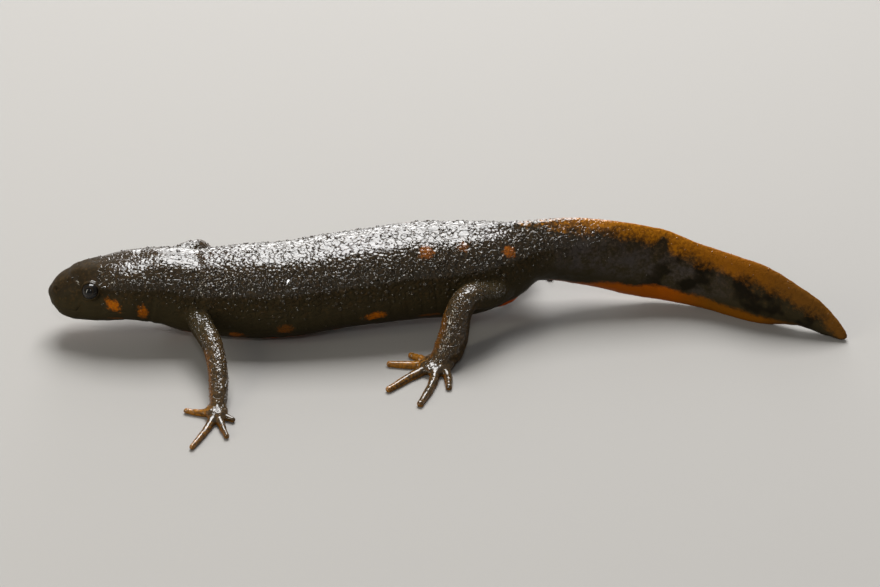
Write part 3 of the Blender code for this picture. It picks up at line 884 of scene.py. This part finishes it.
def fields(points, normals):
    """All the fields that paint the skin, by name."""
    here = survey(points)
    x, ring = here.x, here.ring
    height = READ["height"](x)
    blotch = hump(x - 25.4, 0.55) * hump(ring - 0.62, 0.35)
    spot, strength = spot_field(here)
    grain, size = grain_field(here, normals)

    def on_tail(value):
        return np.where(x > TAIL_PAINT_X, value, -FAR) * here.body - FAR * here.limb

    plain = {name: getattr(here, name) for name in ("ring", "limb", "reach", "toe", "glow")}
    return {
        **plain,
        "spine": x,
        "leading": np.clip(-normals[:, 0], 0, 1) * ease(here.reach, 0.25, 0.5) * here.limb,
        "amber": on_tail((ring - READ["amber"](x)) * height - 2.2 * blotch),
        "orange": on_tail((READ["orange"](x) - ring) * height),
        "spot": spot,
        "spot_strength": strength,
        "grain": grain,
        "grain_size": size,
        "side": 1 - np.clip(normals[:, 2], 0, 1),
        "floor_near": np.clip(1.1 - points[:, 2], 0, 1),
        "wet": wet_field(here, normals),
    }


def carry(mesh, values):
    """Gives the mesh's points the fields, as attributes."""
    for name, value in values.items():
        attribute = mesh.attributes.get(name) or mesh.attributes.new(name, "FLOAT", "POINT")
        attribute.data.foreach_set("value", np.asarray(value, np.float32))


# ------------ node trees


class Wire:
    """A socket that takes part in Python sums: each operation adds its Math node."""

    def __init__(self, bench, socket):
        self.bench = bench
        self.socket = socket

    def math(self, operation, *values):
        return self.bench.add("ShaderNodeMath", {"operation": operation}, dict(enumerate(values)))

    def __add__(self, other):
        return self.math("ADD", self, other)

    def __radd__(self, other):
        return self.math("ADD", other, self)

    def __sub__(self, other):
        return self.math("SUBTRACT", self, other)

    def __rsub__(self, other):
        return self.math("SUBTRACT", other, self)

    def __mul__(self, other):
        return self.math("MULTIPLY", self, other)

    def __rmul__(self, other):
        return self.math("MULTIPLY", other, self)

    def at_least(self, other):
        return self.math("MAXIMUM", self, other)

    def rise(self, start, end):
        """0 before start, 1 after end, and a smooth rise between them."""
        values = {"Value": self, "From Min": start, "From Max": end, "To Min": 0.0, "To Max": 1.0}
        return self.bench.add("ShaderNodeMapRange", {"interpolation_type": "SMOOTHSTEP"}, values)


class Bench:
    """Adds nodes to one tree."""

    def __init__(self, tree):
        self.tree = tree

    def node(self, kind, settings=None, values=None):
        """A node of that kind, with its settings and then its sockets' values or links."""
        node = self.tree.nodes.new(kind)
        for name, value in (settings or {}).items():
            setattr(node, name, value)
        for key, value in (values or {}).items():
            self.feed(node.inputs[key], value)
        return node

    def add(self, kind, settings=None, values=None, output=0):
        """The output of a new node."""
        return Wire(self, self.node(kind, settings, values).outputs[output])

    def feed(self, socket, value):
        if isinstance(value, Wire):
            self.tree.links.new(value.socket, socket)
        else:
            socket.default_value = value

    def principled(self, values):
        return self.add("ShaderNodeBsdfPrincipled", {}, values)

    def close(self, shader):
        """Gives the tree's surface."""
        self.node("ShaderNodeOutputMaterial", {}, {"Surface": shader})

    def field(self, name):
        """A value that the mesh carries."""
        return self.add("ShaderNodeAttribute", {"attribute_name": name}, output="Fac")

    def blend(self, share, first, second):
        """A colour between two colours, by a share from 0 to 1."""
        values = {0: share, 6: as_colour(first), 7: as_colour(second)}
        return self.add("ShaderNodeMix", {"data_type": "RGBA"}, values, output=2)

    def noise(self, place, scale, detail=3.0, roughness=0.55, offset=0.0):
        """Cloudy noise from about 0 to 1, with that many clouds to a millimetre."""
        moved = self.add("ShaderNodeVectorMath", {"operation": "ADD"}, {0: place, 1: (offset,) * 3})
        values = {"Vector": moved, "Scale": scale, "Detail": detail, "Roughness": roughness}
        return self.add("ShaderNodeTexNoise", {}, values)

    def cells(self, place, scale):
        """The distance to the nearest of scattered points."""
        values = {"Vector": place, "Scale": scale}
        return self.add("ShaderNodeTexVoronoi", {"feature": "F1"}, values)


def as_colour(value):
    return value if isinstance(value, Wire) else (*value, 1.0)


def new_material(name):
    """A material with an empty tree, and its bench."""
    made = bpy.data.materials.new(name)
    made.use_nodes = True
    made.node_tree.nodes.clear()
    return made, Bench(made.node_tree)


def millimetres(bench):
    """The place on the piece, in millimetres."""
    place = bench.add("ShaderNodeTexCoord", {}, {}, output="Object")
    return bench.add("ShaderNodeVectorMath", {"operation": "SCALE"}, {0: place, "Scale": 1 / MM})


# ------------ finishes
# The bounds of a rise are in the units of what rises: millimetres for spine, -1 to 1 for ring,
# and 0 to 1 for the noises.


def skin_colour(bench, place, paint):
    """The newt's colours, from its dark ground up to its brightest spots, and the two finer noises
    that mottle them."""
    ring, spine, limb = bench.field("ring"), bench.field("spine"), bench.field("limb")
    clouds = bench.noise(place, 0.55)
    mottle = bench.noise(place, 2.6, 4.0, 0.65, 7.0)
    fine = bench.noise(place, 7.0, 3.0, 0.6, 3.0)
    wide, close = clouds - 0.5, mottle - 0.5

    high = (ring + wide * 0.7).rise(-0.15, 0.75)
    colour = bench.blend(high, paint.flank, paint.back)
    patchy = mottle.rise(0.46, 0.70) * (ring + clouds * 0.6).rise(-0.25, 0.55)
    colour = bench.blend(patchy * 0.55, colour, paint.brown)
    colour = bench.blend(fine.rise(0.45, 0.75) * 0.30, colour, paint.olive)

    bars = bench.noise(place, 0.38, 2.0, 0.5, 31.0).rise(0.44, 0.60) * spine.rise(20.0, 28.0)
    colour = bench.blend(bars * 0.75, colour, paint.black)
    # Painted sheen: a grey reflection laid as colour over the middle of the tail's side, between
    # the black bars.
    grey_sheen = (1 - bars) * spine.rise(9.0, 16.0) * (1 - spine.rise(30.0, 38.0))
    grey_sheen = grey_sheen * (0.95 - ring).rise(0.15, 0.7) * ring.rise(-0.6, -0.1)
    grey_sheen = grey_sheen * (clouds * 0.6 + mottle * 0.4).rise(0.38, 0.62)
    colour = bench.blend(grey_sheen * 0.75, colour, paint.grey_sheen)

    ragged = close * 1.9 + wide * 2.4 + (fine - 0.5) * 0.6
    amber = (bench.field("amber") + ragged).rise(-0.75, 0.95)
    early = 1 - spine.rise(11.0, 17.0)
    amber = amber * (1 - early * (1 - mottle.rise(0.48, 0.6)) * 0.75)
    edge_colour = bench.blend(mottle.rise(0.35, 0.7), paint.amber_deep, paint.amber)
    edge_colour = bench.blend(spine.rise(22.0, 36.0) * 0.85, edge_colour, paint.amber_deep)
    edge_colour = bench.blend(spine.rise(34.0, 44.0) * 0.45, edge_colour, paint.olive)
    colour = bench.blend(amber, colour, edge_colour)

    strip = (bench.field("orange") + ragged * 0.5).rise(-0.45, 0.45)
    strip_colour = bench.blend(spine.rise(27.0, 33.0), paint.orange, paint.amber_deep)
    colour = bench.blend(strip * (1 - spine.rise(38.0, 43.0) * 0.75), colour, strip_colour)

    edge = 0.84 + 0.06 * (1 - spine.rise(-36.0, -31.0))
    belly = ((-1.0 * edge - ring) * 3.0 + wide * 1.2).rise(-0.15, 0.4)
    belly = belly * (1 - limb) * (1 - spine.rise(8.0, 12.0))
    blots = bench.noise(place, 0.42, 2.0, 0.5, 21.0).rise(0.50, 0.56)
    colour = bench.blend(belly * (1 - blots), colour, paint.belly)

    spot = (bench.field("spot") + close * 1.6 + wide * 1.6).rise(-0.12, 0.55)
    spot = spot * bench.field("spot_strength") * (mottle.rise(0.3, 0.6) * 0.5 + 0.5)
    spot_colour = bench.blend(fine.rise(0.4, 0.7), paint.orange, paint.spot)
    colour = bench.blend(spot, colour, spot_colour)

    reach, glow = bench.field("reach"), bench.field("glow")
    leg = bench.blend(mottle.rise(0.4, 0.68), paint.leg, paint.brown)
    leg = bench.blend(reach.rise(0.1, 0.45), colour, leg)
    side = (bench.field("side") + close * 0.5).rise(0.35, 1.0)
    leading = (bench.field("leading") + close * 0.5).rise(0.45, 0.95)
    leg = bench.blend(leading * 0.55, leg, paint.amber_deep)
    sole = bench.field("floor_near").rise(0.45, 0.95) * reach.rise(0.75, 0.95) * side
    tips = (bench.field("toe") + close * 0.8).rise(0.45, 1.0) * side * 0.8
    glow = (glow + close * 0.9).rise(0.05, 0.55) * glow.rise(0.0, 0.12)
    gold = (tips * 0.55).at_least(sole * 0.8).at_least(glow * 0.9)
    gold = gold * (mottle.rise(0.38, 0.56) * 0.6 + 0.4)
    leg = bench.blend(gold, leg, paint.sole)
    return bench.blend(limb, colour, leg), mottle, fine


def skin_finish(paint):
    """Dark skin under a film of water, thick on the back and on every granule."""
    made, bench = new_material("wet_skin")
    place = millimetres(bench)
    colour, mottle, fine = skin_colour(bench, place, paint)
    spine = bench.field("spine")
    swirl = bench.noise(place, 1.3, 0.0, 0.5, 13.0) - 0.5
    worms = swirl.at_least(0.0 - swirl).rise(0.010, 0.065)
    domes = 1.0 - bench.cells(place, 2.1).rise(0.2, 0.8)
    relief = (worms * 1.1 + domes * 0.75) * (bench.field("grain") * 0.97 + 0.03)
    relief = relief * (spine.rise(-38.0, -27.0) * 0.55 + spine.rise(-44.0, -37.0) * 0.45)
    values = {"Height": relief, "Strength": 1.0, "Distance": paint.relief}
    bump = bench.add("ShaderNodeBump", {}, values)
    film = (bench.field("wet") * 1.7 + mottle * 1.2 - 1.1).rise(0.0, 0.5)
    film = film.at_least(bench.field("dome") * (bench.field("ring").rise(-0.5, 0.4) * 0.7 + 0.3))
    both = {"Base Color": colour, "Normal": bump}
    dry = bench.principled({**both, "Roughness": mottle * 0.2 + 0.38, "IOR": SKIN_IOR})
    wet = bench.principled({**both, "Roughness": fine * 0.05 + FILM_ROUGHNESS, "IOR": FILM_IOR})
    bench.close(bench.add("ShaderNodeMixShader", {}, {0: film, 1: dry, 2: wet}))
    return made


def eye_finish(paint):
    """A nearly black eye under a clear wet cornea, with a faint bronze ring round the pupil."""
    made, bench = new_material("wet_eye")
    place = millimetres(bench)
    polar = bench.field("polar")
    flecks = bench.noise(place, 9.0, 3.0, 0.7)
    edge = paint.pupil
    iris = polar.rise(edge, edge + 0.05) * (1 - polar.rise(1.0, 1.15))
    ring = polar.rise(edge, edge + 0.04) * (1 - polar.rise(edge + 0.05, edge + 0.11))
    colour = bench.blend(iris * flecks.rise(0.52, 0.72) * 0.4, paint.black, paint.iris)
    colour = bench.blend(ring * flecks * 0.4, colour, paint.gold)
    values = {
        "Base Color": colour,
        "Roughness": 0.4,
        "IOR": SKIN_IOR,
        "Coat Weight": 1.0,
        "Coat Roughness": 0.02,
        "Coat IOR": CORNEA_IOR,
    }
    bench.close(bench.principled(values))
    return made


def floor_finish(colour):
    """A matt floor with faint clouds."""
    made, bench = new_material("pale_floor")
    cloud = bench.noise(millimetres(bench), 0.01, 2.0)
    shade = bench.blend(cloud, tuple(c * 0.985 for c in colour), colour)
    values = {"Base Color": shade, "Roughness": 0.85, "Specular IOR Level": 0.2}
    bench.close(bench.principled(values))
    return made


# ------------ granules, by Geometry Nodes


def wart(bench, flatness, sides, rings):
    """A closed wart of radius 1 with a round top and a foot that runs out level, sunk a little."""
    values = {"Vertices": sides, "Side Segments": rings, "Depth": 1.0}
    values |= {"Radius Top": 0.0, "Radius Bottom": 1.0}
    cone = bench.add("GeometryNodeMeshCone", {"fill_type": "NGON"}, values)
    place = bench.add("GeometryNodeInputPosition")
    parts = bench.node("ShaderNodeSeparateXYZ", {}, {0: place})
    x, y, z = (Wire(bench, output) for output in parts.outputs)
    out = 1.0 - z
    turned = out.math("POWER", out, WART_BLUNTNESS) * math.pi
    rise = (turned.math("COSINE", turned) + 1.0) * 0.5 * flatness
    height = rise - out.math("POWER", out, WART_FOOT) * SUNK
    bent = bench.add("ShaderNodeCombineXYZ", {}, {0: x, 1: y, 2: height})
    return bench.add("GeometryNodeSetPosition", {}, {"Geometry": cone, "Position": bent})


def granule_tree(name, finish, sides, rings):
    """Low warts on the skin, as thickly as its grain says: the tree, and its inputs by title."""
    tree = bpy.data.node_groups.new(name, "GeometryNodeTree")
    tree.interface.new_socket("Geometry", in_out="INPUT", socket_type="NodeSocketGeometry")
    inputs = {}
    for title in ("Spacing", "Size", "Flatness", "Density", "Least grain", "Seed"):
        kind = "NodeSocketInt" if title == "Seed" else "NodeSocketFloat"
        inputs[title] = tree.interface.new_socket(title, in_out="INPUT", socket_type=kind)
    tree.interface.new_socket("Geometry", in_out="OUTPUT", socket_type="NodeSocketGeometry")
    bench = Bench(tree)
    start = bench.node("NodeGroupInput")

    def given(title):
        return Wire(bench, start.outputs[title])

    def carried(title):
        return bench.add("GeometryNodeInputNamedAttribute", {"data_type": "FLOAT"}, {"Name": title})

    thickness = (carried("grain") - given("Least grain")).at_least(0.0)
    values = {
        "Mesh": given("Geometry"),
        "Distance Min": given("Spacing"),
        "Density Max": given("Density"),
        "Density Factor": thickness,
        "Seed": given("Seed"),
    }
    settings = {"distribute_method": "POISSON"}
    strewn = bench.node("GeometryNodeDistributePointsOnFaces", settings, values)
    points, turn = Wire(bench, strewn.outputs["Points"]), Wire(bench, strewn.outputs["Rotation"])
    low = wart(bench, given("Flatness"), sides, rings)
    chance = {2: WART_SPREAD[0], 3: WART_SPREAD[1], "Seed": given("Seed")}
    size = bench.add("FunctionNodeRandomValue", {"data_type": "FLOAT"}, chance, output=1)
    size = size * given("Size") * carried("grain_size")
    values = {"Points": points, "Instance": low, "Rotation": turn, "Scale": size}
    stood = bench.add("GeometryNodeInstanceOnPoints", {}, values)
    real = bench.add("GeometryNodeRealizeInstances", {}, {"Geometry": stood})
    marks = {"Geometry": real, "Name": "dome", "Value": 1.0}
    settings = {"data_type": "FLOAT", "domain": "POINT"}
    real = bench.add("GeometryNodeStoreNamedAttribute", settings, marks)
    smooth = bench.add("GeometryNodeSetShadeSmooth", {}, {"Geometry": real})
    painted = bench.add("GeometryNodeSetMaterial", {}, {"Geometry": smooth, "Material": finish})
    bench.node("NodeGroupOutput", {}, {0: painted})
    return tree, inputs


def grow(name, skin, finish, sides, rings, settings):
    """A plain mesh of warts grown over the skin."""
    tree, inputs = granule_tree(name, finish, sides, rings)
    bed = add_object(name, skin.data.copy())
    modifier = bed.modifiers.new("grow", "NODES")
    modifier.node_group = tree
    for title, value in settings.items():
        modifier[inputs[title].identifier] = value
    settle(bed)
    return bed


# ------------ settings


def length_property(name, description, size):
    """A length, given in millimetres."""
    return FloatProperty(
        name=name, description=description, default=size * MM, unit="LENGTH", precision=6
    )


def power_property(name, description, watts):
    return FloatProperty(name=name, description=description, default=watts, unit="POWER")


def colour_property(name, description, default):
    return FloatVectorProperty(
        name=name, description=description, default=default, subtype="COLOR", size=3
    )


class NewtSkinSettings(bpy.types.PropertyGroup):
    voxel: length_property("Voxel", "Grid that blends the skin", 0.17)
    triangles: IntProperty(
        name="Triangles", description="Most triangles of the skin", default=186000
    )
    lid: length_property("Lid", "Thickness of the eyelids", 0.12)
    nostril: length_property("Nostril", "Radius of a nostril", 0.19)
    mouth_depth: length_property("Mouth", "Depth of the mouth line", 0.13)


class NewtPaintSettings(bpy.types.PropertyGroup):
    back: colour_property("Back", "Ground colour of the back", (0.017, 0.0115, 0.0060))
    flank: colour_property("Flank", "Ground colour of the flanks", (0.026, 0.020, 0.0095))
    brown: colour_property("Brown", "Mottling of the back and legs", (0.060, 0.034, 0.012))
    olive: colour_property("Olive", "Fine mottling", (0.034, 0.028, 0.012))
    # Painted sheen: the grey on the side of the tail is a reflection painted into the colour.
    grey_sheen: colour_property("Grey", "Bloom on the side of the tail", (0.050, 0.043, 0.042))
    amber: colour_property("Amber", "Upper edge of the tail", (0.32, 0.120, 0.005))
    amber_deep: colour_property("Deep amber", "Shaded edge of the tail", (0.17, 0.058, 0.003))
    orange: colour_property("Orange", "Lower edge of the tail and spots", (0.30, 0.070, 0.002))
    spot: colour_property("Spot", "Bright middle of the spots", (0.34, 0.115, 0.003))
    belly: colour_property("Belly", "Belly and throat", (0.48, 0.075, 0.006))
    leg: colour_property("Leg", "Ground colour of the legs", (0.028, 0.019, 0.010))
    sole: colour_property("Sole", "Soles and tips of the toes", (0.27, 0.110, 0.012))
    black: colour_property("Black", "Pupil and ground of the eye", (0.003, 0.0025, 0.002))
    iris: colour_property("Iris", "Flecks in the iris", (0.035, 0.020, 0.007))
    gold: colour_property("Gold", "Thin ring round the pupil", (0.11, 0.060, 0.014))
    pupil: FloatProperty(
        name="Pupil", description="Half angle of the pupil", default=0.46, subtype="ANGLE"
    )
    relief: length_property("Relief", "Height of the finest relief", 0.095)


class NewtGrainSettings(bpy.types.PropertyGroup):
    wart_size: length_property("Wart", "Radius of a wart", 0.33)
    wart_spacing: length_property("Wart spacing", "Least distance between warts", 0.95)
    granule_size: length_property("Granule", "Radius of a granule", 0.21)
    granule_spacing: length_property("Granule spacing", "Least distance between granules", 0.54)
    flatness: FloatProperty(
        name="Flatness", description="Height of a wart over its radius", default=0.46
    )


class NewtStageSettings(bpy.types.PropertyGroup):
    floor: colour_property("Floor", "Colour of the floor", (0.26, 0.252, 0.240))
    elevation: FloatProperty(
        name="Elevation",
        description="Camera above the horizon",
        default=math.radians(32),
        subtype="ANGLE",
    )
    distance: FloatProperty(
        name="Distance", description="Camera to the newt", default=0.399, unit="LENGTH"
    )
    lens: FloatProperty(name="Lens", description="Focal length in millimetres", default=135.0)
    overhead: power_property("Overhead", "Power of the overhead softbox", 7.5)
    rim: power_property("Rim", "Power of the softbox behind", 2.0)
    front: power_property("Front", "Power of the small front lamp", 0.5)
    card: power_property("Card", "Power of the pale side card", 1.0)
    ambient: FloatProperty(name="Ambient", description="Strength of the room's light", default=0.22)


# ------------ operators


class NEWT_OT_skin(bpy.types.Operator):
    """Blend, sculpt and paint the skin"""

    bl_idname = "newt.skin"
    bl_label = "Skin"

    def execute(self, context):
        look = context.scene.newt_skin
        skin = raw_skin(look.voxel)
        refine(skin.data, fine_places(skin), 2)
        sculpt(skin, look)
        skin.data.calc_loop_triangles()
        thin = skin.modifiers.new("thin", "DECIMATE")
        thin.ratio = min(1.0, look.triangles / len(skin.data.loop_triangles))
        settle(skin)
        write_points(skin.data, read_points(skin.data)[0])
        carry(skin.data, fields(*read_points(skin.data)))
        skin.data.shade_smooth()
        skin.data.materials.clear()
        skin.data.materials.append(skin_finish(context.scene.newt_paint))
        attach(skin, BODY)
        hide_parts(*FLESH_NODES)
        return {"FINISHED"}


class NEWT_OT_grain(bpy.types.Operator):
    """Grow the warts and granules over the skin"""

    bl_idname = "newt.grain"
    bl_label = "Warts and granules"

    def execute(self, context):
        grain = context.scene.newt_grain
        skin = bpy.data.objects["skin"]
        finish = bpy.data.materials["wet_skin"]
        kinds = {
            "warts": (10, 4, grain.wart_size, grain.wart_spacing, 0.30, 3),
            "granules": (8, 4, grain.granule_size, grain.granule_spacing, 0.0, 8),
        }
        for name, (sides, rings, size, spacing, least, seed) in kinds.items():
            settings = {
                "Spacing": spacing,
                "Size": size,
                "Flatness": grain.flatness,
                "Density": WART_TRIES / spacing**2,
                "Least grain": least,
                "Seed": seed,
            }
            piece = grow(name, skin, finish, sides, rings, settings)
            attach(piece, BODY)
        return {"FINISHED"}


class NEWT_OT_eyes(bpy.types.Operator):
    """Make the two eyeballs, each with its cornea standing a little proud"""

    bl_idname = "newt.eyes"
    bl_label = "Eyes"

    def execute(self, context):
        finish = eye_finish(context.scene.newt_paint)
        for word, side in SIDES.items():
            centre, outward, forward, upward = eye_frame(side)
            rings = np.linspace(0, math.pi, EYE_RINGS)[1:-1]
            turns = np.linspace(0, 2 * math.pi, EYE_SIDES, endpoint=False)
            polar, turn = np.meshgrid(rings, turns, indexing="ij")
            radius = EYE_RADIUS * (1 + CORNEA_BULGE * hump(polar, CORNEA_REACH))
            level = forward * np.cos(turn)[..., None] + upward * np.sin(turn)[..., None]
            rays = outward * np.cos(polar)[..., None] + level * np.sin(polar)[..., None]
            points = (centre + rays * radius[..., None]).reshape(-1, 3)
            ball = add_mesh(f"eyeball_{word}", points, ring_faces(len(rings), EYE_SIDES))
            carry(ball.data, {"polar": polar.ravel()})
            ball.data.materials.append(finish)
            ball.data.shade_smooth()
            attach(ball, BODY)
            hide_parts(f"eye_{word}")
        return {"FINISHED"}


def add_lamp(name, place, target, size, power, colour=(1, 1, 1)):
    """A rectangular soft lamp at a place, turned to a target. Size is (width, height)."""
    lamp = bpy.data.lights.new(name, "AREA")
    lamp.shape = "RECTANGLE"
    lamp.size, lamp.size_y = size
    lamp.energy = power
    lamp.color = colour
    obj = add_object(name, lamp)
    obj.location = place
    obj.rotation_euler = (Vector(target) - Vector(place)).to_track_quat("-Z", "Y").to_euler()


class NEWT_OT_stage(bpy.types.Operator):
    """Lay the floor and place the lamps and the camera"""

    bl_idname = "newt.stage"
    bl_label = "Stage"

    def execute(self, context):
        stage = context.scene.newt_stage
        low, high = CAD_BOX
        middle = (low + high) / 2
        corners = np.array([(-1, -1, 0), (1, -1, 0), (1, 1, 0), (-1, 1, 0)])
        floor = add_mesh("floor", corners * FLOOR_HALF / MM, [(0, 1, 2, 3)])
        floor.data.materials.append(floor_finish(stage.floor))

        add_lamp("overhead", (0.0, 0.30, 0.52), middle, (0.37, 0.37), stage.overhead)
        add_lamp("rim", (-0.03, 0.56, 0.20), middle, (0.20, 0.44), stage.rim)
        add_lamp("front", (0.0, -0.42, 0.40), middle, (0.045, 0.045), stage.front)
        snout, cream = (-0.044, 0.0, 0.005), (1.0, 0.94, 0.80)
        add_lamp("card", (-0.38, -0.22, 0.16), snout, (0.05, 0.36), stage.card, cream)

        world = bpy.data.worlds.new("room")
        world.use_nodes = True
        background = world.node_tree.nodes["Background"]
        background.inputs["Color"].default_value = (1.0, 0.97, 0.93, 1)
        background.inputs["Strength"].default_value = stage.ambient
        context.scene.world = world

        camera = bpy.data.cameras.new("camera")
        camera.lens = stage.lens
        camera.sensor_width = 36.0
        camera.clip_start, camera.clip_end = 0.01, 20.0
        eye = add_object("camera", camera)
        target = Vector(in_place(VIEW_CENTRE)) * MM
        back = Vector((0, -math.cos(stage.elevation), math.sin(stage.elevation)))
        eye.location = target + back * stage.distance
        eye.rotation_euler = (math.pi / 2 - stage.elevation, 0, 0)
        context.scene.camera = eye
        context.scene.view_settings.view_transform = "Standard"
        return {"FINISHED"}


class NEWT_PT_panel(bpy.types.Panel):
    bl_label = "Fire-bellied newt"
    bl_idname = "NEWT_PT_panel"
    bl_space_type = "VIEW_3D"
    bl_region_type = "UI"
    bl_category = "Newt"

    def draw(self, context):
        for name, kind in SETTINGS.items():
            box = self.layout.box()
            for prop in kind.__annotations__:
                box.prop(getattr(context.scene, name), prop)
        for operator in OPERATORS:
            self.layout.operator(operator.bl_idname)


SETTINGS = {
    "newt_skin": NewtSkinSettings,
    "newt_paint": NewtPaintSettings,
    "newt_grain": NewtGrainSettings,
    "newt_stage": NewtStageSettings,
}
OPERATORS = (NEWT_OT_skin, NEWT_OT_grain, NEWT_OT_eyes, NEWT_OT_stage)
CLASSES = (*SETTINGS.values(), *OPERATORS, NEWT_PT_panel)


def register():
    for item in CLASSES:
        bpy.utils.register_class(item)
    for name, kind in SETTINGS.items():
        setattr(bpy.types.Scene, name, PointerProperty(type=kind))


def unregister():
    for name in SETTINGS:
        delattr(bpy.types.Scene, name)
    for item in reversed(CLASSES):
        bpy.utils.unregister_class(item)


def main():
    register()
    bpy.ops.newt.skin()
    bpy.ops.newt.grain()
    bpy.ops.newt.eyes()
    bpy.ops.newt.stage()


if __name__ == "__main__":
    main()
